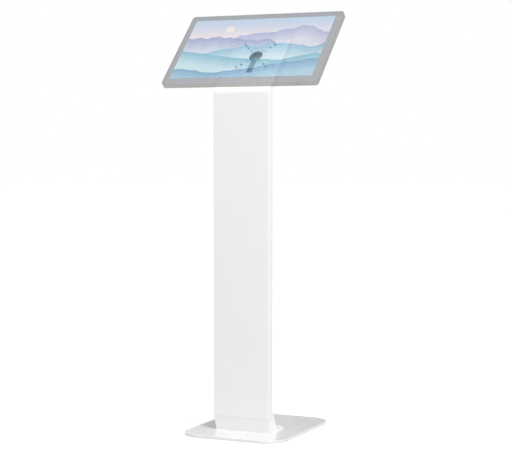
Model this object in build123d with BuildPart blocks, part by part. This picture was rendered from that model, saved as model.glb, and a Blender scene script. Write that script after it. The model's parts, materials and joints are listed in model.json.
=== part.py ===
from build123d import *
import os
from math import cos, radians, sin, tan

# Floor stand that carries a 21.5 inch touch display at a 45 degree lean.
# Millimetres, +Z up. The origin is on the floor under the middle of the base plate, the front is -Y.

# Base plate
plate_width = 341.0
plate_depth = 428.0
plate_thickness = 8.0
plate_corner_radius = 68.0
plate_edge_radius = 1.5
pad_height = 1.0
pad_diameter = 30.0
pad_inset = 36.0
anchor_side_inset = 19.5
anchor_front_inset = 61.0
anchor_rear_inset = 98.0
anchor_hole_diameter = 11.0

# Folded column, foot and head
column_width = 187.0
column_depth = 29.0
column_front_y = -114.0
sheet = 2.0
lip_width = 14.0
fold_radius = 2.5
foot_kink_height = 45.0
foot_lean = 19.0
foot_rear_kink_height = 71.0
foot_rear_lean = 27.0
bend_height = 1050.0
head_lean = 45.0
head_end_margin = 25.0
bend_radius = 30.0
smallest_bend = 1.0
weld_gap = 0.2

# Foot flange and its bolts
flange_thickness = 5.0
flange_reach = 127.0
flange_corner_radius = 15.0
bolt_diameter = 8.0
bolt_head_flats = 13.0
bolt_head_height = 5.3
bolt_washer_diameter = 16.0
bolt_washer_thickness = 1.6
bolt_spacing_x = 120.0
bolt_spacing_y = 36.0
bolt_back_inset = 18.0
bolt_clearance = 0.1
flange_hole_clearance = 0.5

# Rear covers and their screws
cover_sheet = 1.5
cover_inset = 1.0
cover_gap = 1.0
cover_bend_gap = 0.5
cover_screw_diameter = 4.0
cover_screw_head_diameter = 7.6
cover_screw_head_height = 2.2
cover_screw_length = 6.0
cover_screw_key = 2.5
cover_screw_end = 30.0
cover_screw_rows = 3
screw_clearance = 0.1

# Service door and its hinges
door_gap = 0.3
door_bottom_height = 72.0
door_length = 500.0
door_edge_clearance = 0.5
hinge_inset = 12.5
hinge_pin_diameter = 3.0
hinge_pin_clearance = 0.05
hinge_barrel_radius = 3.0
hinge_leaf_width = 11.0
hinge_leaf_thickness = 1.5
hinge_length = 60.0
hinge_axial_gap = 0.4
hinge_end_distance = 70.0
hinge_cap_height = 1.0

# Quarter turn lock in the door
lock_side_distance = 27.5
lock_body_diameter = 18.0
lock_body_length = 12.0
lock_flange_diameter = 22.0
lock_flange_thickness = 1.5
lock_plug_diameter = 11.0
lock_plug_clearance = 0.05
lock_nut_diameter = 23.0
lock_nut_thickness = 2.5
lock_running_gap = 0.3
key_slot_length = 7.0
key_slot_width = 1.2
cam_length = 21.0
cam_width = 12.0
cam_thickness = 2.0
cam_lip_clearance = 1.0
cam_step_clearance = 1.0

# Cable clips inside the column
clip_count = 3
clip_width = 22.0
clip_depth = 11.0
clip_height = 12.0
clip_wall = 1.8
clip_mouth = 5.0
clip_end_distance = 70.0

# Screw squares and keyhole in the head
screw_square_distance = 151.0
large_square = 100.0
small_square = 75.0
inner_square = 42.7
head_hole_diameter = 5.0
inner_hole_diameter = 4.0
keyhole_diameter = 45.0
keyhole_slot_width = 20.0
keyhole_slot_reach = 75.0
stiffener_thickness = 3.0
stiffener_side_gap = 16.5
stiffener_end_margin = 14.0
stiffener_slot_margin = 21.0
display_screw_diameter = 4.0
display_screw_head_diameter = 8.0
display_screw_head_height = 2.6
display_washer_diameter = 9.0
display_washer_thickness = 0.8
insert_diameter = 6.0
insert_end_gap = 5.5

# Display
display_width = 520.0
display_height = 314.0
display_corner_radius = 8.0
display_front = 36.0
glass_thickness = 3.0
tray_depth = 17.0
housing_wall = 2.5
bulge_width = 300.0
bulge_height = 200.0
bulge_corner_radius = 14.0
boss_diameter = 12.0
recess_side_gap = 7.5
recess_top_gap = 3.5
recess_slot_gap = 9.0
recess_board_gap = 1.5
panel_margin = 15.0
panel_thickness = 9.0
board_width = 190.0
board_height = 130.0
board_thickness = 1.6
post_diameter = 7.0
post_inset = 8.0
board_gap = 5.4
port_width = 44.0
port_front_gap = 3.7
port_depth = 9.0
port_count = 3
port_mouth_width = 9.0
port_mouth_share = 4 / 9
port_gap = 0.3

# Power button in the display's lower edge
button_side_distance = 60.0
button_width = 12.0
button_height = 5.0
button_proud = 1.0
button_travel = 0.8
button_clearance = 0.3
button_flange = 1.5
button_length = 4.0
switch_width = 16.0
switch_depth = 5.0

# Worked out from the sizes above
plate_top = pad_height + plate_thickness
anchor_spacing_x = plate_width - 2 * anchor_side_inset
anchor_spacing_y = plate_depth - anchor_front_inset - anchor_rear_inset
anchor_centre_y = (anchor_front_inset - anchor_rear_inset) / 2
flange_top = plate_top + flange_thickness
shell_depth = column_depth - cover_sheet - door_gap
half_inner = column_width / 2 - sheet
lip_middle = column_width / 2 - lip_width / 2
bend_z = plate_top + bend_height
head_length = screw_square_distance + large_square / 2 + head_end_margin
lean_sin = sin(radians(head_lean))
lean_cos = cos(radians(head_lean))
back_y = column_front_y + shell_depth
square_y = column_front_y + screw_square_distance * lean_sin
square_z = bend_z + screw_square_distance * lean_cos
glass_back = display_front - glass_thickness
bulge_depth = glass_back - tray_depth
screw_seat = sheet + stiffener_thickness
stiffener_width = 2 * (half_inner - stiffener_side_gap)
stiffener_up = large_square / 2 + stiffener_end_margin
stiffener_down = keyhole_slot_reach + stiffener_slot_margin
panel_width = display_width - 2 * panel_margin
panel_height = display_height - 2 * panel_margin
board_depth = glass_back - panel_thickness - board_gap - board_thickness
post_height = board_depth - housing_wall
insert_length = board_depth - insert_end_gap - housing_wall
recess_width = keyhole_diameter + 2 * recess_side_gap
recess_up = keyhole_diameter / 2 + recess_top_gap
recess_down = keyhole_slot_reach + recess_slot_gap
recess_depth = board_depth - recess_board_gap - housing_wall
port_height = recess_depth - port_gap - port_front_gap
button_offset = display_width / 2 - button_side_distance
switch_height = tray_depth - 2 * housing_wall

head_plane = Plane(origin=(0, square_y, square_z), x_dir=(1, 0, 0), z_dir=(0, -lean_cos, lean_sin))
head_back = Plane(origin=head_plane.offset(-shell_depth).origin, x_dir=(-1, 0, 0), z_dir=-head_plane.z_dir)
column_back = Plane(origin=(0, back_y, 0), x_dir=(-1, 0, 0), z_dir=(0, 1, 0))


def lean_at(depth):
    """The foot's lean, which is steeper at the sides' rear edges than in the front sheet."""
    return foot_lean if depth <= sheet else foot_rear_lean


def kink_point(depth):
    """The foot kink, this far behind the front face, as (y, z)."""
    if depth <= sheet:
        height = foot_kink_height + depth * tan(radians(foot_lean / 2))
    else:
        height = foot_rear_kink_height + (depth - shell_depth) * tan(radians(foot_rear_lean / 2))
    return column_front_y + depth, plate_top + height


def bend_point(depth):
    """The bend under the head, this far behind the front face, as (y, z)."""
    drop = depth * tan(radians(head_lean / 2))
    return column_front_y + depth, bend_z - drop


def foot_point(depth, drop=0.0):
    """The foot's lower end, this far behind the front face, as (y, z)."""
    kink_y, kink_z = kink_point(depth)
    z = plate_top - drop
    return kink_y + (kink_z - z) * tan(radians(lean_at(depth))), z


def head_point(depth, trim=0.0):
    """The head's upper end, this far behind the front face, as (y, z)."""
    along = head_length - trim
    y = column_front_y + along * lean_sin + depth * lean_cos
    z = bend_z + along * lean_cos - depth * lean_sin
    return y, z


def radius_at(depth):
    """The radius of the bends, this far behind the front face."""
    return max(bend_radius - depth, smallest_bend)


def side_path(depth, foot_drop, head_trim):
    """One line from foot to head, this far behind the front face, with its bends rounded."""
    radius = radius_at(depth)
    ends = (foot_point(depth, foot_drop), head_point(depth, head_trim))
    return FilletPolyline(ends[0], kink_point(depth), bend_point(depth), ends[1], radius=radius)


def side_outline(near, far, foot_drop=0.0, head_trim=0.0):
    """The closed side outline between two depths behind the front face."""
    with BuildLine() as outline:
        front_line = side_path(near, foot_drop, head_trim)
        rear_line = side_path(far, foot_drop, head_trim)
        Line(front_line @ 0, rear_line @ 0)
        Line(front_line @ 1, rear_line @ 1)
    make_face(outline.edges())


def head_holes(plane, depth):
    """Cut the three squares of screw holes and the keyhole through what lies behind a plane."""
    with BuildSketch(plane) as holes:
        for spacing, diameter in (
            (large_square, head_hole_diameter),
            (small_square, head_hole_diameter),
            (inner_square, inner_hole_diameter),
        ):
            with GridLocations(spacing, spacing, 2, 2):
                Circle(diameter / 2)
        Circle(keyhole_diameter / 2)
        with Locations((0, -keyhole_slot_reach / 2)):
            Rectangle(keyhole_slot_width, keyhole_slot_reach)
    extrude(holes.sketch, amount=-depth, mode=Mode.SUBTRACT)


def discs(plane, points, diameter, amount, mode=Mode.ADD):
    """A disc or a hole of one length at each of these points of a plane."""
    with BuildSketch(plane) as spots:
        with Locations(*points):
            Circle(diameter / 2)
    extrude(spots.sketch, amount=amount, mode=mode)


def square_points(spacing_x, spacing_y, middle=(0.0, 0.0)):
    """The four corners of a rectangle of screws or holes."""
    return [
        (middle[0] + side * spacing_x / 2, middle[1] + end * spacing_y / 2)
        for side in (-1, 1)
        for end in (-1, 1)
    ]


def lip_points(low, high):
    """Screw places along both lips between two heights, in a back plane's own axes."""
    step = (high - low) / (cover_screw_rows - 1)
    return [(side * lip_middle, low + row * step) for side in (-1, 1) for row in range(cover_screw_rows)]


def cover_plate(plane, low, high, points):
    """A flat rear cover between two heights of a back plane, with its screw holes."""
    with BuildSketch(plane) as cover:
        with Locations((0, (low + high) / 2)):
            Rectangle(column_width - 2 * cover_inset, high - low)
    extrude(cover.sketch, amount=cover_sheet)
    discs(plane, points, cover_screw_diameter + 2 * screw_clearance, cover_sheet, Mode.SUBTRACT)


def cover_screws(plane, points):
    """Button head screws with hexagon sockets, seated on a rear cover and reaching in through the lip."""
    seat = plane.offset(cover_sheet)
    discs(seat, points, cover_screw_head_diameter, cover_screw_head_height)
    discs(seat, points, cover_screw_diameter, -cover_screw_length)
    with BuildSketch(seat.offset(cover_screw_head_height)) as sockets:
        with Locations(*points):
            RegularPolygon(cover_screw_key / 2, 6, major_radius=False)
    extrude(sockets.sketch, amount=-cover_screw_head_height / 2, mode=Mode.SUBTRACT)


def hinge_leaf(low, high, near_x, far_x, leaf_y):
    """A flat hinge leaf between two heights, from the barrel side to its free edge."""
    with BuildSketch(Plane.XY.offset(low)) as leaf:
        with Locations(((near_x + far_x) / 2, leaf_y + hinge_leaf_thickness / 2)):
            Rectangle(abs(far_x - near_x), hinge_leaf_thickness)
    extrude(leaf.sketch, amount=high - low)


def hinge_knuckle(low, high, side, leaf_y):
    """A knuckle round the pin and the tongue that ties it to its leaf, on one side of the pin."""
    reach = hinge_barrel_radius + 2 * door_edge_clearance
    with BuildSketch(Plane.XY.offset(low)) as section:
        with Locations((hinge_x, hinge_y)):
            Circle(hinge_barrel_radius)
        with Locations((hinge_x + side * reach / 2, leaf_y + hinge_leaf_thickness / 2)):
            Rectangle(reach, hinge_leaf_thickness)
        with Locations((hinge_x, hinge_y)):
            Circle(hinge_pin_diameter / 2 + hinge_pin_clearance, mode=Mode.SUBTRACT)
    extrude(section.sketch, amount=high - low)


# Places that several pieces share
door_low = plate_top + door_bottom_height
door_high = door_low + door_length
cover_low = door_high + cover_gap
cover_bend = radius_at(shell_depth) * tan(radians(head_lean / 2)) + cover_bend_gap
cover_high = bend_point(shell_depth)[1] - cover_bend
head_cover_low = bend_z - bend_point(shell_depth)[1] + cover_bend - screw_square_distance
head_cover_high = head_length - cover_inset - screw_square_distance
rear_cover_points = lip_points(cover_low + cover_screw_end, cover_high - cover_screw_end)
head_cover_points = lip_points(head_cover_low + cover_screw_end, head_cover_high - lip_width / 2)
bolt_y = column_front_y + flange_reach - bolt_back_inset - bolt_spacing_y / 2
bolt_points = square_points(bolt_spacing_x, bolt_spacing_y, (0, bolt_y))
anchor_points = square_points(anchor_spacing_x, anchor_spacing_y, (0, anchor_centre_y))
large_points = square_points(large_square, large_square)
hinge_x = hinge_inset - column_width / 2
hinge_y = back_y + hinge_barrel_radius + door_gap
hinge_lows = (door_low + hinge_end_distance, door_high - hinge_end_distance - hinge_length)
knuckle = hinge_length / 3
door_left = hinge_x + hinge_barrel_radius + door_edge_clearance
door_right = column_width / 2 - cover_inset
door_inside = column_back.offset(door_gap)
door_outside = column_back.offset(door_gap + cover_sheet)
lock_x = column_width / 2 - lock_side_distance
lock_z = (door_low + door_high) / 2
lock_spot = [(-lock_x, lock_z)]
lock_face = door_outside.offset(lock_flange_thickness)

# Base plate with rounded corners, anchor holes and the foot's bolt holes
with BuildPart() as base_plate:
    with BuildSketch(Plane.XY.offset(pad_height)):
        RectangleRounded(plate_width, plate_depth, plate_corner_radius)
    extrude(amount=plate_thickness)
    top_rim = base_plate.faces().sort_by(Axis.Z)[-1].outer_wire().edges()
    fillet(top_rim, radius=plate_edge_radius)
    discs(Plane.XY, anchor_points, anchor_hole_diameter, plate_top, Mode.SUBTRACT)
    discs(Plane.XY, bolt_points, bolt_diameter + 2 * bolt_clearance, plate_top, Mode.SUBTRACT)

# Non-slip pads under the plate
with BuildPart() as base_pads:
    with BuildSketch(Plane.XY):
        with GridLocations(plate_width - 2 * pad_inset, plate_depth / 2 - pad_inset, 2, 3):
            Circle(pad_diameter / 2)
    extrude(amount=pad_height)

# Foot flange, which lies on the base plate between the column's sides and reaches behind it
flange_start = foot_point(sheet)[0] + weld_gap
flange_end = column_front_y + flange_reach
with BuildPart() as foot_flange:
    with BuildSketch(Plane.XY.offset(plate_top)):
        with Locations((0, (flange_start + flange_end) / 2)):
            Rectangle(2 * (half_inner - weld_gap), flange_end - flange_start)
    extrude(amount=flange_thickness)
    rear_corners = foot_flange.edges().filter_by(Axis.Z).group_by(Axis.Y)[-1]
    fillet(rear_corners, radius=flange_corner_radius)
    bolt_hole = bolt_diameter + 2 * flange_hole_clearance
    discs(Plane.XY.offset(plate_top), bolt_points, bolt_hole, flange_thickness, Mode.SUBTRACT)

with BuildPart() as foot_washers:
    discs(Plane.XY.offset(flange_top), bolt_points, bolt_washer_diameter, bolt_washer_thickness)
    washer_hole = bolt_diameter + 2 * bolt_clearance
    discs(Plane.XY.offset(flange_top), bolt_points, washer_hole, bolt_washer_thickness, Mode.SUBTRACT)

bolt_seat = Plane.XY.offset(flange_top + bolt_washer_thickness)
with BuildPart() as foot_bolts:
    with BuildSketch(bolt_seat):
        with Locations(*bolt_points):
            RegularPolygon(bolt_head_flats / 2, 6, major_radius=False)
    extrude(amount=bolt_head_height)
    bolt_length = bolt_washer_thickness + flange_thickness + plate_thickness - weld_gap
    discs(bolt_seat, bolt_points, bolt_diameter, -bolt_length)

# Column shell, one folded sheet: foot, column and head with lips along its open back
with BuildPart() as column_shell:
    with BuildSketch(Plane.YZ):
        side_outline(0, shell_depth)
    extrude(amount=column_width / 2, both=True)
    front_faces = column_shell.faces().filter_by(lambda face: face.normal_at().Y < -0.3)
    side_faces = column_shell.faces().filter_by(Axis.X)
    front_folds = [edge for edge in front_faces.edges() if edge in side_faces.edges()]
    fillet(front_folds, radius=fold_radius)
    with BuildSketch(Plane.YZ):
        side_outline(sheet, shell_depth - sheet, foot_drop=sheet, head_trim=sheet)
    extrude(amount=half_inner, both=True, mode=Mode.SUBTRACT)
    with BuildSketch(Plane.YZ):
        side_outline(shell_depth - 2 * sheet, shell_depth + sheet, foot_drop=sheet, head_trim=lip_width)
    extrude(amount=column_width / 2 - lip_width, both=True, mode=Mode.SUBTRACT)
    with BuildSketch(Plane.XY.offset(plate_top)):
        with Locations((0, foot_point(sheet)[0])):
            Rectangle(2 * half_inner, 2 * shell_depth, align=(Align.CENTER, Align.MIN))
    extrude(amount=flange_thickness + weld_gap, mode=Mode.SUBTRACT)
    head_holes(head_plane.offset(sheet), 3 * sheet)
    screw_hole = cover_screw_diameter + 2 * screw_clearance
    discs(column_back, rear_cover_points, screw_hole, -2 * sheet, Mode.SUBTRACT)
    discs(head_back, head_cover_points, screw_hole, -2 * sheet, Mode.SUBTRACT)

# Backing plate behind the head's face, with the same holes
with BuildPart() as head_stiffener:
    with BuildSketch(head_plane.offset(-sheet)):
        with Locations((0, (stiffener_up - stiffener_down) / 2)):
            Rectangle(stiffener_width, stiffener_up + stiffener_down)
    extrude(amount=-stiffener_thickness)
    head_holes(head_plane, 2 * screw_seat)

# Rear covers, screwed to the lips, and their screws
with BuildPart() as rear_cover:
    cover_plate(column_back, cover_low, cover_high, rear_cover_points)

with BuildPart() as rear_cover_screws:
    cover_screws(column_back, rear_cover_points)

with BuildPart() as head_cover:
    cover_plate(head_back, head_cover_low, head_cover_high, head_cover_points)

with BuildPart() as head_cover_screws:
    cover_screws(head_back, head_cover_points)

# Service door over the column's lower back, hung on two hinges along its left edge
with BuildPart() as service_door:
    with BuildSketch(door_inside):
        with Locations((-(door_left + door_right) / 2, lock_z)):
            Rectangle(door_right - door_left, door_length)
    extrude(amount=cover_sheet)
    discs(door_inside, lock_spot, lock_body_diameter + 2 * screw_clearance, cover_sheet, Mode.SUBTRACT)

leaf_start = hinge_barrel_radius + door_edge_clearance
leaf_free_edge = cover_inset - column_width / 2
with BuildPart() as column_hinge_leaves:
    for low in hinge_lows:
        high = low + hinge_length
        hinge_leaf(low, high, hinge_x - leaf_start, leaf_free_edge, back_y)
        hinge_knuckle(low, low + knuckle, -1, back_y)
        hinge_knuckle(high - knuckle, high, -1, back_y)

door_leaf_y = back_y + door_gap + cover_sheet
with BuildPart() as door_hinge_leaves:
    for low in hinge_lows:
        high = low + hinge_length
        hinge_leaf(low, high, door_left, door_left + hinge_leaf_width, door_leaf_y)
        hinge_knuckle(low + knuckle + hinge_axial_gap, high - knuckle - hinge_axial_gap, 1, door_leaf_y)

hinge_spot = [(hinge_x, hinge_y)]
with BuildPart() as hinge_pins:
    for low in hinge_lows:
        high = low + hinge_length
        discs(Plane.XY.offset(low), hinge_spot, hinge_pin_diameter, hinge_length)
        discs(Plane.XY.offset(low), hinge_spot, 2 * hinge_barrel_radius - door_gap, -hinge_cap_height)
        discs(Plane.XY.offset(high), hinge_spot, 2 * hinge_barrel_radius - door_gap, hinge_cap_height)

# Quarter turn lock in the door: housing, nut, keyed plug and a cranked cam that turns behind the lip
with BuildPart() as lock_housing:
    discs(door_outside, lock_spot, lock_flange_diameter, lock_flange_thickness)
    discs(door_outside, lock_spot, lock_body_diameter, -lock_body_length)
    plug_bore = lock_plug_diameter + 2 * lock_plug_clearance
    discs(lock_face, lock_spot, plug_bore, -lock_body_length - lock_flange_thickness, Mode.SUBTRACT)

with BuildPart() as lock_nut:
    with BuildSketch(door_inside):
        with Locations(*lock_spot):
            RegularPolygon(lock_nut_diameter / 2, 6)
    extrude(amount=-lock_nut_thickness)
    nut_bore = lock_body_diameter + 2 * screw_clearance
    discs(door_inside, lock_spot, nut_bore, -lock_nut_thickness, Mode.SUBTRACT)

with BuildPart() as lock_plug:
    plug_length = lock_body_length + lock_flange_thickness + lock_running_gap
    discs(lock_face, lock_spot, lock_plug_diameter, -plug_length)
    with BuildSketch(lock_face):
        with Locations(*lock_spot):
            Rectangle(key_slot_width, key_slot_length)
    extrude(amount=-lock_body_length / 2, mode=Mode.SUBTRACT)

cam_plane = Plane(origin=(lock_x, back_y, lock_z), x_dir=(0, 0, 1), z_dir=(-1, 0, 0))
cam_hub_top = door_gap + cover_sheet - lock_body_length - lock_running_gap
cam_arm_top = -sheet - cam_lip_clearance
cam_step = lock_body_diameter / 2 + cam_step_clearance
with BuildPart() as lock_cam:
    with BuildSketch(cam_plane):
        with BuildLine():
            Polyline(
                (-cam_width / 2, cam_hub_top),
                (cam_step, cam_hub_top),
                (cam_step, cam_arm_top),
                (cam_length, cam_arm_top),
                (cam_length, cam_arm_top - cam_thickness),
                (cam_step + cam_thickness, cam_arm_top - cam_thickness),
                (cam_step + cam_thickness, cam_hub_top - cam_thickness),
                (-cam_width / 2, cam_hub_top - cam_thickness),
                close=True,
            )
        make_face()
    extrude(amount=cam_width / 2, both=True)

# Cable clips on the inside of the column's front
clip_low = door_low + clip_end_distance
clip_step = (cover_high - clip_end_distance - clip_low) / (clip_count - 1)
clip_wall_y = column_front_y + sheet
with BuildPart() as cable_clips:
    for clip in range(clip_count):
        with BuildSketch(Plane.XY.offset(clip_low + clip * clip_step)):
            with Locations((0, clip_wall_y + clip_depth / 2)):
                Rectangle(clip_width, clip_depth)
                Rectangle(clip_width - 2 * clip_wall, clip_depth - 2 * clip_wall, mode=Mode.SUBTRACT)
            with Locations((0, clip_wall_y + clip_depth)):
                Rectangle(clip_mouth, 3 * clip_wall, mode=Mode.SUBTRACT)
        extrude(amount=clip_height)

# Washers and screws that hold the display, put in from inside the head, and the inserts they enter
washer_plane = head_plane.offset(-screw_seat)
washer_bore = display_screw_diameter + 2 * screw_clearance
with BuildPart() as display_washers:
    discs(washer_plane, large_points, display_washer_diameter, -display_washer_thickness)
    discs(washer_plane, large_points, washer_bore, -display_washer_thickness, Mode.SUBTRACT)

head_seat = washer_plane.offset(-display_washer_thickness)
with BuildPart() as display_screws:
    discs(head_seat, large_points, display_screw_head_diameter, -display_screw_head_height)
    screw_length = display_washer_thickness + screw_seat + insert_length - screw_clearance
    discs(head_seat, large_points, display_screw_diameter, screw_length)

with BuildPart() as display_inserts:
    discs(head_plane, large_points, insert_diameter, insert_length)
    discs(head_plane, large_points, washer_bore, insert_length, Mode.SUBTRACT)

# Display housing: a shallow tray with a raised box on its back and a recess over the keyhole
recess_middle = (0, (recess_up - recess_down) / 2)
recess_height = recess_up + recess_down
board_points = square_points(board_width - 2 * post_inset, board_height - 2 * post_inset)
with BuildPart() as display_housing:
    with BuildSketch(head_plane):
        RectangleRounded(bulge_width, bulge_height, bulge_corner_radius)
    extrude(amount=bulge_depth + housing_wall)
    with BuildSketch(head_plane.offset(bulge_depth)):
        RectangleRounded(display_width, display_height, display_corner_radius)
    extrude(amount=tray_depth)
    with BuildSketch(head_plane.offset(bulge_depth + housing_wall)):
        RectangleRounded(
            display_width - 2 * housing_wall,
            display_height - 2 * housing_wall,
            display_corner_radius - housing_wall,
        )
    extrude(amount=tray_depth, mode=Mode.SUBTRACT)
    with BuildSketch(head_plane.offset(housing_wall)):
        RectangleRounded(
            bulge_width - 2 * housing_wall,
            bulge_height - 2 * housing_wall,
            bulge_corner_radius - housing_wall,
        )
    extrude(amount=bulge_depth + housing_wall, mode=Mode.SUBTRACT)
    with BuildSketch(head_plane):
        with Locations(recess_middle):
            Rectangle(recess_width + 2 * housing_wall, recess_height + 2 * housing_wall)
    extrude(amount=recess_depth + housing_wall)
    with BuildSketch(head_plane):
        with Locations(recess_middle):
            Rectangle(recess_width, recess_height)
    extrude(amount=recess_depth, mode=Mode.SUBTRACT)
    discs(head_plane, large_points, boss_diameter, insert_length + housing_wall)
    discs(head_plane, large_points, insert_diameter + 2 * screw_clearance, insert_length, Mode.SUBTRACT)
    discs(head_plane.offset(housing_wall), board_points, post_diameter, post_height)
    button_hole = Plane(
        origin=head_plane.from_local_coords((button_offset, 0, bulge_depth + tray_depth / 2)),
        x_dir=(1, 0, 0),
        z_dir=-head_plane.y_dir,
    )
    with BuildSketch(button_hole.offset(display_height / 2 - 2 * housing_wall)):
        Rectangle(button_width + 2 * button_clearance, button_height + 2 * button_clearance)
    extrude(amount=3 * housing_wall, mode=Mode.SUBTRACT)

# Connector block on the recess's upper wall, with its mouths facing down
with BuildPart() as display_ports:
    port_middle = recess_depth - port_gap - port_height / 2
    port_plane = Plane(
        origin=head_plane.from_local_coords((0, recess_up, port_middle)),
        x_dir=(1, 0, 0),
        z_dir=-head_plane.y_dir,
    )
    with BuildSketch(port_plane):
        Rectangle(port_width, port_height)
    extrude(amount=port_depth)
    with BuildSketch(port_plane.offset(port_depth)):
        with GridLocations(port_width / port_count, 0, port_count, 1):
            Rectangle(port_mouth_width, port_mouth_share * port_height)
    extrude(amount=-port_depth / 2, mode=Mode.SUBTRACT)

# Main board on its posts, the screen panel and the cover glass
board_plane = head_plane.offset(board_depth)
with BuildPart() as display_board:
    with BuildSketch(board_plane):
        Rectangle(board_width, board_height)
    extrude(amount=board_thickness)

with BuildPart() as display_panel:
    with BuildSketch(head_plane.offset(glass_back - panel_thickness)):
        Rectangle(panel_width, panel_height)
    extrude(amount=panel_thickness)

with BuildPart() as cover_glass:
    with BuildSketch(head_plane.offset(glass_back)):
        RectangleRounded(display_width, display_height, display_corner_radius)
    extrude(amount=glass_thickness)
    outward = Axis(head_plane.origin, head_plane.z_dir)
    glass_rim = cover_glass.faces().sort_by(outward)[-1].outer_wire().edges()
    fillet(glass_rim, radius=glass_thickness / 4)

# Power button, which slides up into the display's lower edge, and the switch behind it
button_face = button_hole.offset(display_height / 2 + button_proud)
flange_face = button_hole.offset(display_height / 2 - housing_wall - button_clearance)
with BuildPart() as power_button:
    with BuildSketch(button_face):
        RectangleRounded(button_width, button_height, button_height / 4)
    extrude(amount=-button_proud - housing_wall - button_length)
    with BuildSketch(flange_face):
        Rectangle(button_width + 2 * button_flange, button_height + 2 * button_flange)
    extrude(amount=-button_flange)

button_reach = housing_wall + button_length + button_travel + button_clearance
switch_face = button_hole.offset(display_height / 2 - button_reach)
with BuildPart() as button_switch:
    with BuildSketch(switch_face):
        Rectangle(switch_width, switch_height)
    extrude(amount=-switch_depth)

pieces = {
    "base_plate": base_plate,
    "base_pads": base_pads,
    "foot_flange": foot_flange,
    "foot_bolts": foot_bolts,
    "foot_washers": foot_washers,
    "column_shell": column_shell,
    "head_stiffener": head_stiffener,
    "rear_cover": rear_cover,
    "rear_cover_screws": rear_cover_screws,
    "head_cover": head_cover,
    "head_cover_screws": head_cover_screws,
    "service_door": service_door,
    "column_hinge_leaves": column_hinge_leaves,
    "door_hinge_leaves": door_hinge_leaves,
    "hinge_pins": hinge_pins,
    "lock_housing": lock_housing,
    "lock_nut": lock_nut,
    "lock_plug": lock_plug,
    "lock_cam": lock_cam,
    "cable_clips": cable_clips,
    "display_washers": display_washers,
    "display_screws": display_screws,
    "display_inserts": display_inserts,
    "display_housing": display_housing,
    "display_ports": display_ports,
    "display_board": display_board,
    "display_panel": display_panel,
    "cover_glass": cover_glass,
    "power_button": power_button,
    "button_switch": button_switch,
}

os.makedirs("parts", exist_ok=True)
for name, piece in pieces.items():
    piece.part.label = name
    export_step(piece.part, f"parts/{name}.step")
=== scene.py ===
import json
import math

import bmesh
import bpy
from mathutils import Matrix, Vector


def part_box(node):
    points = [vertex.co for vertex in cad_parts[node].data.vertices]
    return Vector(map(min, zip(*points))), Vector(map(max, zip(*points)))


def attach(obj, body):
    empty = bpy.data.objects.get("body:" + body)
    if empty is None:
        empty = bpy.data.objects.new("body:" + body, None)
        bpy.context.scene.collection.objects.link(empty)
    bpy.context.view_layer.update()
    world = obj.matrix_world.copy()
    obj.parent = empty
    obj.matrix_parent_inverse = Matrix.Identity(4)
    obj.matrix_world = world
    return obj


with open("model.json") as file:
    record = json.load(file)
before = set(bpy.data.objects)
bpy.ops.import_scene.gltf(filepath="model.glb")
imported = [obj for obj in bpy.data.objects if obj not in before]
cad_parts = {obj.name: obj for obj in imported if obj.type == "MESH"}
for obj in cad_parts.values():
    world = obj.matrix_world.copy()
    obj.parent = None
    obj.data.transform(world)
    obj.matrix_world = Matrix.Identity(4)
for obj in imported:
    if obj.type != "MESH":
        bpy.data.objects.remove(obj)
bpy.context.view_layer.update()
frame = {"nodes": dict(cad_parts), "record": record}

nodes = frame["nodes"]
scene = bpy.context.scene

# Places taken from the frame, in metres. The head leans back at 45 degrees
half_root = math.sqrt(0.5)
lean_normal = Vector((0.0, -half_root, half_root))
lean_up = Vector((0.0, half_root, half_root))
square_mount = [m for m in frame["record"]["mounts"] if m["name"] == "small_display_square"][0]
head_centre = Vector(square_mount["pos_m"])
glass_low, glass_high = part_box("cover_glass")
display_half_width = (glass_high.x - glass_low.x) / 2
cover_face_depth = max((v.co - head_centre).dot(lean_normal) for v in nodes["head_cover"].data.vertices)

# Sizes of the display, as the CAD has them. Depths are measured out of the head's face
display_half_height = 0.157
display_corner = 0.008
glass_front_depth = 0.036
tray_back_depth = 0.016
box_half = (0.150, 0.100)
box_corner = 0.014
picture_half = (0.239, 0.1345)

# Screw holes of the head's three squares: how far out they are both ways, and the radius round each that is
# painted near black as shade
hole_shade_rims = ((0.0375, 0.0030), (0.050, 0.0030), (0.02135, 0.0022))
# Near black of the black oxide screws, also painted into the screw holes as shade
dark_steel_and_hole_shade = (0.030, 0.030, 0.033)

# The display is drawn as a see-through ghost. Only the outer faces of its flat tray hold back light, so
# that a way through it crosses two of them wherever it goes, and what is behind shows through evenly. A
# shield plate carries the tray's back across the raised box behind it, and the box itself is nearly clear.
bezel_pass = 0.62
wall_pass = 0.65
back_pass = 0.70
clear_pass = 0.997
clear_veil = 0.002
smoky_veil = 0.03
plastic_gloss = 0.25

white = (0.87, 0.872, 0.876)


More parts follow.
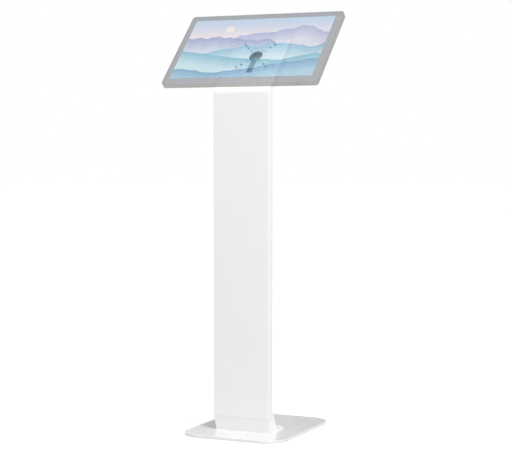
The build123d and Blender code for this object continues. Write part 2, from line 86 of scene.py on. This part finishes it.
# Small helpers for building materials
class Paint:
    """The node tree of a material, or of the world, with short calls for the nodes it needs."""

    def __init__(self, name, world=None):
        self.owner = world or bpy.data.materials.new(name)
        self.owner.use_nodes = True
        self.tree = self.owner.node_tree
        self.tree.nodes.clear()
        self.output = self.add("ShaderNodeOutputWorld" if world else "ShaderNodeOutputMaterial")
        self.coords = None
        self.lean = None

    def add(self, kind, **settings):
        """A node with its settings."""
        made = self.tree.nodes.new(kind)
        for key, value in settings.items():
            setattr(made, key, value)
        return made

    def put(self, socket, value):
        """A number, a colour or another node's output goes into a socket."""
        if isinstance(value, bpy.types.NodeSocket):
            self.tree.links.new(value, socket)
        elif isinstance(value, (tuple, list)) and len(value) == 3 and socket.type == "RGBA":
            socket.default_value = (*value, 1.0)
        else:
            socket.default_value = value

    def place(self):
        """The object's own coordinates, which are the row frame's at rest."""
        if self.coords is None:
            self.coords = self.add("ShaderNodeTexCoord").outputs["Object"]
        return self.coords

    def axes(self, vector):
        """The three values in a vector."""
        split = self.add("ShaderNodeSeparateXYZ")
        self.put(split.inputs[0], vector)
        return split.outputs["X"], split.outputs["Y"], split.outputs["Z"]

    def lean_axes(self):
        """The leaning display's own axes as three values: along its width, up its face and out of the head."""
        if self.lean is None:
            side, y, z = self.axes(self.place())
            y = self.minus(y, head_centre.y)
            z = self.minus(z, head_centre.z)
            self.lean = side, self.times(self.plus(y, z), half_root), self.times(self.minus(z, y), half_root)
        return self.lean

    def maths(self, operation, first, second=None, clamp=False):
        """One sum on values."""
        node = self.add("ShaderNodeMath", operation=operation, use_clamp=clamp)
        self.put(node.inputs[0], first)
        if second is not None:
            self.put(node.inputs[1], second)
        return node.outputs[0]

    def plus(self, first, *others):
        """The sum of values."""
        for value in others:
            first = self.maths("ADD", first, value)
        return first

    def times(self, first, *others):
        """The product of values, which for masks is where all of them hold."""
        for value in others:
            first = self.maths("MULTIPLY", first, value)
        return first

    def minus(self, first, second):
        """The difference of two values."""
        return self.maths("SUBTRACT", first, second)

    def size(self, value):
        """A value without its sign."""
        return self.maths("ABSOLUTE", value)

    def length(self, first, second):
        """The length of a line whose two shares are given."""
        return self.maths("SQRT", self.plus(self.times(first, first), self.times(second, second)))

    def noise(self, scale, detail=2.0, roughness=0.5, stretch=None, vector=None):
        """Noise over the object, with scale in features a metre, or over another vector in its own units."""
        where = vector or self.place()
        if stretch:
            mapping = self.add("ShaderNodeMapping")
            self.put(mapping.inputs["Vector"], where)
            mapping.inputs["Scale"].default_value = stretch
            where = mapping.outputs["Vector"]
        node = self.add("ShaderNodeTexNoise")
        for key, value in (("Vector", where), ("Scale", scale), ("Detail", detail), ("Roughness", roughness)):
            self.put(node.inputs[key], value)
        return node.outputs["Fac"]

    def span(self, value, from_low, from_high, to_low, to_high, kind="LINEAR"):
        """A value carried from one range to another, held at its ends."""
        node = self.add("ShaderNodeMapRange", interpolation_type=kind)
        sockets = ("Value", "From Min", "From Max", "To Min", "To Max")
        for key, number in zip(sockets, (value, from_low, from_high, to_low, to_high)):
            self.put(node.inputs[key], number)
        return node.outputs["Result"]

    def ease(self, value, from_low, from_high, to_low=0.0, to_high=1.0):
        """A value carried from one range to another with soft ends."""
        return self.span(value, from_low, from_high, to_low, to_high, "SMOOTHSTEP")

    def mix(self, share, first, second):
        """Two colours mixed by a share."""
        node = self.add("ShaderNodeMix", data_type="RGBA")
        self.put(node.inputs["Factor"], share)
        self.put(node.inputs[6], first)
        self.put(node.inputs[7], second)
        return node.outputs[2]

    def colour(self, red, green, blue):
        """A colour from three values."""
        node = self.add("ShaderNodeCombineColor")
        for key, value in zip(("Red", "Green", "Blue"), (red, green, blue)):
            self.put(node.inputs[key], value)
        return node.outputs["Color"]

    def grey(self, value):
        """A grey from one value."""
        return self.colour(value, value, value)

    def bump(self, height, strength, distance):
        """A surface raised by a height."""
        node = self.add("ShaderNodeBump")
        for key, value in (("Height", height), ("Strength", strength), ("Distance", distance)):
            self.put(node.inputs[key], value)
        return node.outputs["Normal"]

    def shader(self, **values):
        """The Principled shader with these sockets set."""
        node = self.add("ShaderNodeBsdfPrincipled")
        for key, value in values.items():
            self.put(node.inputs[key.replace("_", " ")], value)
        return node.outputs["BSDF"]

    def blend(self, share, first, second):
        """Two shaders mixed by a share."""
        node = self.add("ShaderNodeMixShader")
        self.put(node.inputs["Fac"], share)
        self.put(node.inputs[1], first)
        self.put(node.inputs[2], second)
        return node.outputs[0]

    def lit(self, shader, colour, strength):
        """A shader with a glow of its own on top."""
        glow = self.add("ShaderNodeEmission")
        self.put(glow.inputs["Color"], colour)
        self.put(glow.inputs["Strength"], strength)
        total = self.add("ShaderNodeAddShader")
        self.put(total.inputs[0], shader)
        self.put(total.inputs[1], glow.outputs[0])
        return total.outputs[0]

    def ghost(self, passes, veil, gloss=plastic_gloss, normal=None):
        """A see-through skin: the light that passes, and how much of a faint gloss lies on it."""
        clear = self.add("ShaderNodeBsdfTransparent")
        self.put(clear.inputs["Color"], passes)
        values = {"Base_Color": (0.0, 0.0, 0.0), "Roughness": gloss, "Specular_IOR_Level": 0.25}
        if normal is not None:
            values["Normal"] = normal
        return self.blend(veil, clear.outputs[0], self.shader(**values))

    def shown_to(self):
        """One for rays from the camera, from a reflection or through glass, and nothing for soft light."""
        rays = self.add("ShaderNodeLightPath")
        seen = self.maths("MAXIMUM", rays.outputs["Is Camera Ray"], rays.outputs["Is Glossy Ray"])
        return self.maths("MAXIMUM", seen, rays.outputs["Is Transmission Ray"])

    def finish(self, shader):
        """The material, whose own glow is seen but isn't used as a lamp."""
        self.put(self.output.inputs["Surface"], shader)
        self.owner.cycles.emission_sampling = "NONE"
        return self.owner


def scaled(colour, share):
    """A colour made darker or lighter."""
    return tuple(share * channel for channel in colour)


# Painted shade and light on the powder coat of single nodes
def painted_display_shade(paint, tone):
    """Painted shade: the head's face is a tenth greyer where the display covers it, as the display's shadow on
    it, so its outline shows less there.
    """
    face_depths, display_edge = (-0.0030, -0.0008), (-0.150, -0.095)
    _, up, out = paint.lean_axes()
    under = paint.times(paint.span(out, *face_depths, 0.0, 1.0), paint.ease(up, *display_edge))
    return paint.mix(under, tone, scaled(white, 0.90))


def painted_kink_shade_and_light(paint, tone):
    """Painted shade and painted light: the column is darker down to the foot's kink and lighter under it, which
    evens out the light there.
    """
    kink_heights, painted_shade_heights = (0.0465, 0.0515), (0.045, 0.165)
    _, _, height = paint.axes(paint.place())
    foot = paint.span(height, *kink_heights, 1.0, 0.0)
    above = paint.times(paint.ease(height, *painted_shade_heights, 1.0, 0.0), paint.minus(1.0, foot))
    tone = paint.mix(above, tone, scaled(white, 0.965))
    return paint.mix(foot, tone, scaled(white, 1.03))


def painted_hole_shade(paint, tone):
    """Painted shade: the walls and edges of the screw holes are painted near black."""
    side, up, _ = paint.lean_axes()
    for reach, radius in hole_shade_rims:
        far = paint.length(paint.minus(paint.size(side), reach), paint.minus(paint.size(up), reach))
        tone = paint.mix(paint.maths("LESS_THAN", far, radius), tone, dark_steel_and_hole_shade)
    return tone


def painted_cover_shade_and_light(paint, tone):
    """Painted shade and painted light: the head cover's inner face is drawn grey, as shade inside the cover,
    with a paler painted patch of light behind the keyhole.
    """
    patch_foot, patch_top, patch_lift = (0.008, 0.016), (0.045, 0.060), 0.38
    skin_depth = 0.0003
    _, up, out = paint.lean_axes()
    # Painted light: a paler patch behind the keyhole
    patch = paint.times(paint.ease(up, *patch_foot, 0.0, patch_lift), paint.ease(up, *patch_top, 1.0, 0.0))
    # Painted shade inside the cover, grey with a fine mottle
    painted_inner_shade = paint.span(paint.noise(26.0, detail=4.0, roughness=0.6), 0.3, 0.7, 0.50, 0.56)
    inner = paint.maths("GREATER_THAN", out, cover_face_depth - skin_depth)
    return paint.mix(inner, tone, paint.grey(paint.plus(painted_inner_shade, patch)))


def powder_coat(name, colour, gloss, peel, *painted_light_marks):
    """Baked powder coat: orange peel, a fine grain, a faint mottle in its colour, and a node's own painted
    shade and light.
    """
    paint = Paint(name)
    mottle = paint.noise(9.0, detail=3.0)
    speck = paint.noise(1400.0, detail=2.0, roughness=0.7)
    smear = paint.noise(26.0, detail=4.0, roughness=0.6)
    shade = paint.plus(paint.span(mottle, 0.3, 0.7, -0.008, 0.008), paint.span(speck, 0.3, 0.7, -0.012, 0.012))
    bright = paint.plus(shade, 1.0)
    tone = paint.colour(*(paint.times(bright, channel) for channel in colour))
    for mark in painted_light_marks:
        tone = mark(paint, tone)
    rough = paint.span(smear, 0.25, 0.75, gloss - 0.04, gloss + 0.05)
    height = paint.plus(paint.noise(420.0, detail=1.0), paint.times(speck, 0.35))
    return paint.finish(paint.shader(Base_Color=tone, Roughness=rough, Normal=paint.bump(height, peel, 0.0002)))


def metal(name, colour, gloss, stretch, grain=0.12):
    """Bare or plated metal with a drawn grain along one direction, faint stains and small scratches."""
    paint = Paint(name)
    lines = paint.noise(900.0, detail=5.0, roughness=0.65, stretch=stretch)
    stain = paint.noise(70.0, detail=4.0, roughness=0.6)
    dark = scaled(colour, 0.72)
    tone = paint.mix(paint.span(stain, 0.35, 0.7, 0.0, 0.6), colour, dark)
    tone = paint.mix(paint.span(lines, 0.4, 0.7, 0.0, grain * 3), tone, dark)
    drawn = paint.span(lines, 0.3, 0.7, gloss - 0.06, gloss + 0.08)
    rough = paint.plus(drawn, paint.span(stain, 0.4, 0.7, 0.0, 0.08))
    normal = paint.bump(lines, grain, 0.0002)
    return paint.finish(paint.shader(Base_Color=tone, Metallic=1.0, Roughness=rough, Normal=normal))


def screw_steel():
    """Black oxide steel, which is drawn clear where it stands inside the ghost."""
    paint = Paint("dark_steel_look")
    _, _, out = paint.lean_axes()
    lines = paint.noise(900.0, detail=5.0, roughness=0.65, stretch=(1.0, 1.0, 0.3))
    stain = paint.noise(70.0, detail=4.0, roughness=0.6)
    tone = paint.mix(paint.span(stain, 0.35, 0.7, 0.0, 1.0), dark_steel_and_hole_shade, (0.055, 0.052, 0.050))
    steel = paint.shader(Base_Color=tone, Metallic=0.8, Roughness=paint.span(lines, 0.3, 0.7, 0.34, 0.50),
                         Normal=paint.bump(lines, 0.12, 0.0002))
    inside_ghost = paint.maths("GREATER_THAN", out, 0.00005)
    return paint.finish(paint.blend(inside_ghost, steel, paint.ghost((0.995, 0.995, 0.995), clear_veil)))


def plastic(name, colour, gloss, grain):
    """Moulded plastic with a spark-eroded grain and slightly uneven gloss."""
    paint = Paint(name)
    fine = paint.noise(1600.0, detail=3.0, roughness=0.7)
    broad = paint.noise(30.0, detail=3.0)
    light = tuple(min(1.0, channel * 1.25 + 0.004) for channel in colour)
    tone = paint.mix(paint.span(broad, 0.3, 0.7, 0.0, 0.5), colour, light)
    rough = paint.span(fine, 0.3, 0.7, gloss - 0.06, gloss + 0.06)
    return paint.finish(paint.shader(Base_Color=tone, Roughness=rough, Normal=paint.bump(fine, grain, 0.00015)))


def rubber(name):
    """Matt black rubber with a moulded stipple and a little dust."""
    paint = Paint(name)
    stipple = paint.noise(1100.0, detail=3.0, roughness=0.75)
    dust = paint.noise(60.0, detail=5.0, roughness=0.65)
    tone = paint.mix(paint.span(dust, 0.5, 0.8, 0.0, 0.5), (0.018, 0.018, 0.018), (0.075, 0.072, 0.068))
    rough = paint.span(stipple, 0.2, 0.8, 0.72, 0.92)
    return paint.finish(paint.shader(Base_Color=tone, Roughness=rough, Normal=paint.bump(stipple, 0.4, 0.0003)))


def faint(name, passes, veil, scale=900.0):
    """A piece inside the ghost, only just there, with a fine grain in how clear it is."""
    paint = Paint(name)
    fine = paint.noise(scale, detail=3.0)
    through = paint.span(fine, 0.3, 0.7, passes - 0.004, passes)
    return paint.finish(paint.ghost(paint.grey(through), veil, normal=paint.bump(fine, 0.2, 0.00015)))


def button_skin():
    """The power button: its outer face is as smoky as the wall round it, the rest is clear."""
    paint = Paint("button_plastic_look")
    _, up, _ = paint.lean_axes()
    outer = paint.maths("LESS_THAN", up, -display_half_height)
    fine = paint.noise(1500.0, detail=3.0)
    held = paint.times(outer, paint.span(fine, 0.3, 0.7, 0.98 - wall_pass, 1.0 - wall_pass))
    passes = paint.maths("SUBTRACT", clear_pass, held, clamp=True)
    veil = paint.plus(paint.times(outer, smoky_veil), clear_veil)
    return paint.finish(paint.ghost(paint.grey(passes), veil))


def shield_skin():
    """The plate across the raised box's mouth: its two faces together pass as much as the tray's back."""
    paint = Paint("display_shield_look")
    fine = paint.noise(1500.0, detail=3.0)
    each = math.sqrt(back_pass)
    through = paint.span(fine, 0.3, 0.7, each - 0.006, each + 0.006)
    return paint.finish(paint.ghost(paint.grey(through), 0.01))


def housing_skin():
    """The display's housing: the tray's outer faces are smoky, the raised box and all inner faces clear."""
    paint = Paint("housing_plastic_look")
    side, up, out = paint.lean_axes()
    across, along = paint.size(side), paint.size(up)
    skin_depth, back_skin, box_gap = 0.0012, 0.0004, 0.0001

    # The tray's outer wall, with its rounded corners
    edge_x = paint.minus(display_half_width, across)
    edge_v = paint.minus(display_half_height, along)
    straight = paint.maths("LESS_THAN", paint.maths("MINIMUM", edge_x, edge_v), skin_depth)
    corner_x = paint.minus(edge_x, display_corner)
    corner_v = paint.minus(edge_v, display_corner)
    in_corner = paint.times(paint.maths("LESS_THAN", corner_x, 0.0), paint.maths("LESS_THAN", corner_v, 0.0))
    outside = paint.maths("GREATER_THAN", paint.length(corner_x, corner_v), display_corner - skin_depth)
    wall = paint.maths("MAXIMUM", straight, paint.times(in_corner, outside))

    # The tray's back, round the raised box
    at_back = paint.maths("LESS_THAN", paint.size(paint.minus(out, tray_back_depth)), back_skin)
    box_x = paint.maths("MAXIMUM", paint.minus(across, box_half[0] - box_corner), 0.0)
    box_v = paint.maths("MAXIMUM", paint.minus(along, box_half[1] - box_corner), 0.0)
    beside = paint.maths("GREATER_THAN", paint.length(box_x, box_v), box_corner + box_gap)
    rear = paint.times(at_back, beside)
    wall = paint.times(wall, paint.minus(1.0, rear))

    fine = paint.noise(1500.0, detail=3.0)
    grain = paint.span(fine, 0.3, 0.7, -0.010, 0.010)
    smoky = paint.maths("MAXIMUM", wall, rear)
    held = paint.plus(paint.times(rear, 1.0 - back_pass), paint.times(wall, 1.0 - wall_pass),
                      paint.times(grain, smoky))
    passes = paint.maths("SUBTRACT", clear_pass, held, clamp=True)
    veil = paint.plus(paint.times(smoky, smoky_veil), clear_veil)
    return paint.finish(paint.ghost(paint.grey(passes), veil, normal=paint.bump(fine, 0.2, 0.00015)))


def glow_of(colour):
    """What a colour of the picture gives off by itself."""
    return tuple(0.19 * channel ** 3.5 for channel in colour)


def picture(paint, side, up):
    """A generic picture of misty hills under a low sun: what it lets through and what it glows with."""
    wide = paint.maths("DIVIDE", side, picture_half[0])
    tall = paint.maths("DIVIDE", up, picture_half[1])
    sky_low, sky_high, sun = (1.00, 0.93, 0.96), (0.74, 0.85, 0.97), (1.00, 0.97, 0.95)
    sun_place, sun_radius = (-0.105, 0.088), 0.015
    height = paint.ease(tall, 0.25, 1.0)
    passed = paint.mix(height, sky_low, sky_high)
    glow = paint.mix(height, glow_of(sky_low), glow_of(sky_high))
    reach = paint.length(paint.minus(side, sun_place[0]), paint.minus(up, sun_place[1]))
    disc = paint.span(reach, sun_radius - 0.0005, sun_radius + 0.0005, 1.0, 0.0)
    passed = paint.mix(disc, passed, sun)
    glow = paint.mix(disc, glow, glow_of(sun))
    hills = (
        # base, slope, swell, turns, phase, crags, colour at the crest, colour of the mist at its foot, depth
        (0.44, 0.10, 0.12, 2.6, 0.6, 0.22, (0.66, 0.70, 0.88), (0.90, 0.90, 0.98), 0.50),
        (0.20, -0.16, 0.14, 3.1, 2.9, 0.20, (0.56, 0.62, 0.82), (0.84, 0.90, 0.98), 0.50),
        (-0.06, 0.14, 0.13, 2.2, 1.4, 0.16, (0.50, 0.74, 0.88), (0.84, 0.96, 1.00), 0.46),
        (-0.34, -0.10, 0.12, 3.4, 4.4, 0.13, (0.44, 0.72, 0.84), (0.80, 0.94, 0.99), 0.44),
        (-0.66, 0.10, 0.10, 2.8, 5.6, 0.10, (0.40, 0.62, 0.80), (0.66, 0.84, 0.94), 0.40),
    )
    for number, (base, slope, swell, turns, phase, crags, crest, mist, depth) in enumerate(hills):
        plane = paint.add("ShaderNodeCombineXYZ")
        for key, value in (("X", wide), ("Y", tall), ("Z", 3.7 * number)):
            paint.put(plane.inputs[key], value)
        plane = plane.outputs[0]
        wave = paint.maths("SINE", paint.plus(paint.times(wide, turns), phase))
        rough = paint.noise(2.4, detail=4.0, roughness=0.45, vector=plane, stretch=(1.0, 0.0, 1.0))
        line = paint.plus(paint.times(wide, slope), paint.times(wave, swell), base,
                          paint.span(rough, 0.25, 0.75, -crags, crags))
        below = paint.minus(line, tall)
        woods = paint.noise(26.0, detail=3.0, roughness=0.6, vector=plane, stretch=(1.0, 0.7, 1.0))
        veiled = paint.maths("ADD", paint.span(below, 0.0, depth, 0.0, 1.0),
                             paint.span(woods, 0.35, 0.65, -0.07, 0.07), clamp=True)
        inside = paint.ease(below, -0.004, 0.008)
        passed = paint.mix(inside, passed, paint.mix(veiled, crest, mist))
        glow = paint.mix(inside, glow, paint.mix(veiled, glow_of(crest), glow_of(mist)))
    return passed, glow


def glass_skin():
    """The cover glass: a dark printed border and, inside it, the lit picture. Its back face is clear."""
    paint = Paint("display_glass_look")
    front_skin, picture_blur = 0.0027, 0.0003
    side, up, out = paint.lean_axes()
    front = paint.maths("GREATER_THAN", out, glass_front_depth - front_skin)
    in_x = paint.minus(picture_half[0], paint.size(side))
    in_v = paint.minus(picture_half[1], paint.size(up))
    inside = paint.span(paint.maths("MINIMUM", in_x, in_v), -picture_blur, picture_blur, 0.0, 1.0)
    passed, glow = picture(paint, side, up)
    border = (bezel_pass * 1.06, bezel_pass * 1.11, bezel_pass * 1.16)
    tint = paint.mix(front, (1.0, 1.0, 1.0), paint.mix(inside, border, passed))
    light = paint.mix(paint.times(inside, front), (0.0, 0.0, 0.0), glow)
    smudge = paint.noise(24.0, detail=4.0, roughness=0.6)
    veil = paint.times(front, paint.span(smudge, 0.3, 0.8, 0.014, 0.022))
    skin = paint.ghost(tint, veil, paint.span(smudge, 0.3, 0.8, 0.14, 0.25))
    return paint.finish(paint.lit(skin, light, 1.0))


# Materials of the CAD nodes
coat = powder_coat("powder_white_look", white, 0.42, 0.10)
# The base plate's coat is the same white made a little darker, as painted shade
shaded_plate_coat = powder_coat("powder_plate_look", scaled(white, 0.955), 0.16, 0.05)
shell_coat = powder_coat("powder_shell_look", white, 0.42, 0.10, painted_display_shade, painted_kink_shade_and_light, painted_hole_shade)
cover_coat = powder_coat("powder_cover_look", white, 0.42, 0.10, painted_cover_shade_and_light)
backing_coat = powder_coat("powder_backing_look", white, 0.42, 0.10, painted_hole_shade)
zinc_flat = metal("zinc_look", (0.62, 0.63, 0.65), 0.32, (1.0, 1.0, 0.06))
zinc_turned = metal("zinc_fastener_look", (0.58, 0.59, 0.61), 0.28, (1.0, 1.0, 0.25))
chrome = metal("lock_chrome_look", (0.78, 0.78, 0.80), 0.10, (0.2, 1.0, 1.0), grain=0.03)
black_oxide = screw_steel()

looks = {
    "base_plate": shaded_plate_coat,
    "base_pads": rubber("pad_rubber_look"),
    "foot_flange": coat,
    "foot_bolts": zinc_turned,
    "foot_washers": zinc_turned,
    "column_shell": shell_coat,
    "head_stiffener": backing_coat,
    "rear_cover": coat,
    "rear_cover_screws": zinc_turned,
    "head_cover": cover_coat,
    "head_cover_screws": zinc_turned,
    "service_door": coat,
    "column_hinge_leaves": zinc_flat,
    "door_hinge_leaves": zinc_flat,
    "hinge_pins": zinc_turned,
    "lock_housing": chrome,
    "lock_nut": zinc_turned,
    "lock_plug": chrome,
    "lock_cam": zinc_flat,
    "cable_clips": plastic("clip_nylon_look", (0.78, 0.78, 0.76), 0.46, 0.10),
    "display_washers": black_oxide,
    "display_screws": black_oxide,
    "display_inserts": faint("insert_brass_look", 0.994, 0.004),
    "display_housing": housing_skin(),
    "display_ports": faint("port_plastic_look", 0.994, 0.003),
    "display_board": faint("board_laminate_look", 0.994, 0.003, 500.0),
    "display_panel": faint("screen_panel_look", 0.998, 0.002, 700.0),
    "cover_glass": glass_skin(),
    "power_button": button_skin(),
    "button_switch": faint("button_switch_look", 0.994, 0.003),
}
for name, look in looks.items():
    slots = nodes[name].data.materials
    slots.clear()
    slots.append(look)

# Shield plate inside the display, across the mouth of its raised box
shield_gap = 0.0001
shield_depths = (tray_back_depth + 0.00005, tray_back_depth + 0.00025)
shield_shape = bmesh.new()
outline = []
for turn, (sign_x, sign_v) in enumerate(((1, 1), (-1, 1), (-1, -1), (1, -1))):
    for step in range(7):
        angle = math.radians(90 * turn + 15 * step)
        outline.append((sign_x * (box_half[0] - box_corner) + (box_corner - shield_gap) * math.cos(angle),
                        sign_v * (box_half[1] - box_corner) + (box_corner - shield_gap) * math.sin(angle)))
lower, upper = ([shield_shape.verts.new(head_centre + Vector((u, 0, 0)) + lean_up * v + lean_normal * depth)
                 for u, v in outline] for depth in shield_depths)
shield_shape.faces.new(upper)
shield_shape.faces.new(list(reversed(lower)))
for here in range(len(outline)):
    there = (here + 1) % len(outline)
    shield_shape.faces.new((lower[here], lower[there], upper[there], upper[here]))
shield_mesh = bpy.data.meshes.new("display_shield")
shield_shape.to_mesh(shield_mesh)
shield_shape.free()
shield_mesh.materials.append(shield_skin())
shield = bpy.data.objects.new("display_shield", shield_mesh)
scene.collection.objects.link(shield)
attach(shield, "stand")

# The housing's back lies in the head's own face, so it stands off by a hair to draw cleanly
stand_off, face_margin = 0.00015, 0.00002
housing = nodes["display_housing"]
touching = housing.vertex_groups.new(name="head_side")
on_face = [v.index for v in housing.data.vertices if abs((v.co - head_centre).dot(lean_normal)) < face_margin]
touching.add(on_face, 1.0, "ADD")
for axis, share in (("Y", lean_normal.y), ("Z", lean_normal.z)):
    nudge = housing.modifiers.new("stand_off_" + axis.lower(), "DISPLACE")
    nudge.direction = axis
    nudge.mid_level = 0.0
    nudge.strength = share * stand_off
    nudge.vertex_group = touching.name

# The ghost neither shades the head behind it nor takes part in its light
ghost_names = ("display_housing", "cover_glass", "display_panel", "display_board", "display_ports",
               "display_inserts", "power_button", "button_switch")
for piece in [nodes[name] for name in ghost_names] + [shield]:
    piece.visible_shadow = False
    piece.visible_diffuse = False
    piece.visible_glossy = False

# Plain floor, which goes white to the camera and keeps the object's shadow
floor_tone, floor_lift, floor_drop, floor_half = 0.52, 0.665, 0.0002, 30.0
floor_mesh = bpy.data.meshes.new("floor")
floor_shape = bmesh.new()
bmesh.ops.create_grid(floor_shape, x_segments=2, y_segments=2, size=floor_half)
floor_shape.to_mesh(floor_mesh)
floor_shape.free()
floor = bpy.data.objects.new("floor", floor_mesh)
floor.location = (0.0, 0.0, -floor_drop)
scene.collection.objects.link(floor)
paint = Paint("floor_look")
ground = paint.shader(Base_Color=(floor_tone, floor_tone, floor_tone), Roughness=0.9, Specular_IOR_Level=0.0)
floor_shader = paint.lit(ground, (1.0, 1.0, 1.0), paint.times(paint.shown_to(), floor_lift))
floor_mesh.materials.append(paint.finish(floor_shader))

# World: plain soft light with a brighter patch low in front. It is white where the camera or a reflection
# meets it, but for a dark wall behind the stand, above the camera's view, which the glossy plate shows
soft_level = 0.68
front_extra = 0.42
wall_dim = 0.45
wall_seen_left, wall_seen_right = 0.42, 1.0
wall_faces = (0.43, 0.90)
world = bpy.data.worlds.new("studio")
scene.world = world
sky = Paint("studio", world)
world.cycles.sampling_method = "NONE"
x, y, z = sky.axes(sky.add("ShaderNodeTexCoord").outputs["Generated"])
towards = sky.plus(sky.times(x, -wall_faces[0]), sky.times(y, wall_faces[1]))
across = sky.plus(sky.times(x, wall_faces[1]), sky.times(y, wall_faces[0]))
wall = sky.times(sky.ease(towards, 0.35, 0.75), sky.ease(z, 0.11, 0.15), sky.ease(z, 0.60, 0.85, 1.0, 0.0))
ahead = sky.times(sky.ease(y, -0.9, -0.5, 1.0, 0.0), sky.ease(z, 0.25, 0.45, 1.0, 0.0))
soft = sky.plus(sky.times(ahead, front_extra), soft_level)
soft = sky.times(soft, sky.minus(1.0, sky.times(wall, wall_dim)))
wall_share = sky.span(across, -0.08, 0.06, wall_seen_left, wall_seen_right)
shown = sky.minus(1.0, sky.times(wall, wall_share))
level = sky.plus(soft, sky.times(sky.shown_to(), sky.minus(shown, soft)))
backdrop = sky.add("ShaderNodeBackground")
sky.put(backdrop.inputs["Color"], (1.0, 1.0, 1.0))
sky.put(backdrop.inputs["Strength"], level)
sky.put(sky.output.inputs["Surface"], backdrop.outputs[0])

# Key lamp: a large soft square, high in front of the stand's right side
lamp_place = Vector((2.79, -2.16, 4.8))
lamp_aim = Vector((0.0, 0.0, 0.6))
lamp = bpy.data.lights.new("key_light", "AREA")
lamp.shape = "SQUARE"
lamp.size = 1.4
lamp.energy = 206.0
key_light = bpy.data.objects.new("key_light", lamp)
key_light.location = lamp_place
key_light.rotation_euler = (lamp_aim - lamp_place).to_track_quat("-Z", "Y").to_euler()
scene.collection.objects.link(key_light)

# Camera at the photograph's place
camera_data = bpy.data.cameras.new("camera")
camera_data.sensor_width = 36.0
camera_data.lens = 104.32
camera = bpy.data.objects.new("camera", camera_data)
camera.location = (1.94997, -4.19460, 0.88674)
camera.rotation_euler = (math.radians(86.96), 0.0, math.radians(24.96))
scene.collection.objects.link(camera)
scene.camera = camera
scene.view_settings.view_transform = "Standard"

# Enough steps for a ray to pass through every skin of the ghost
scene.cycles.transparent_max_bounces = 32
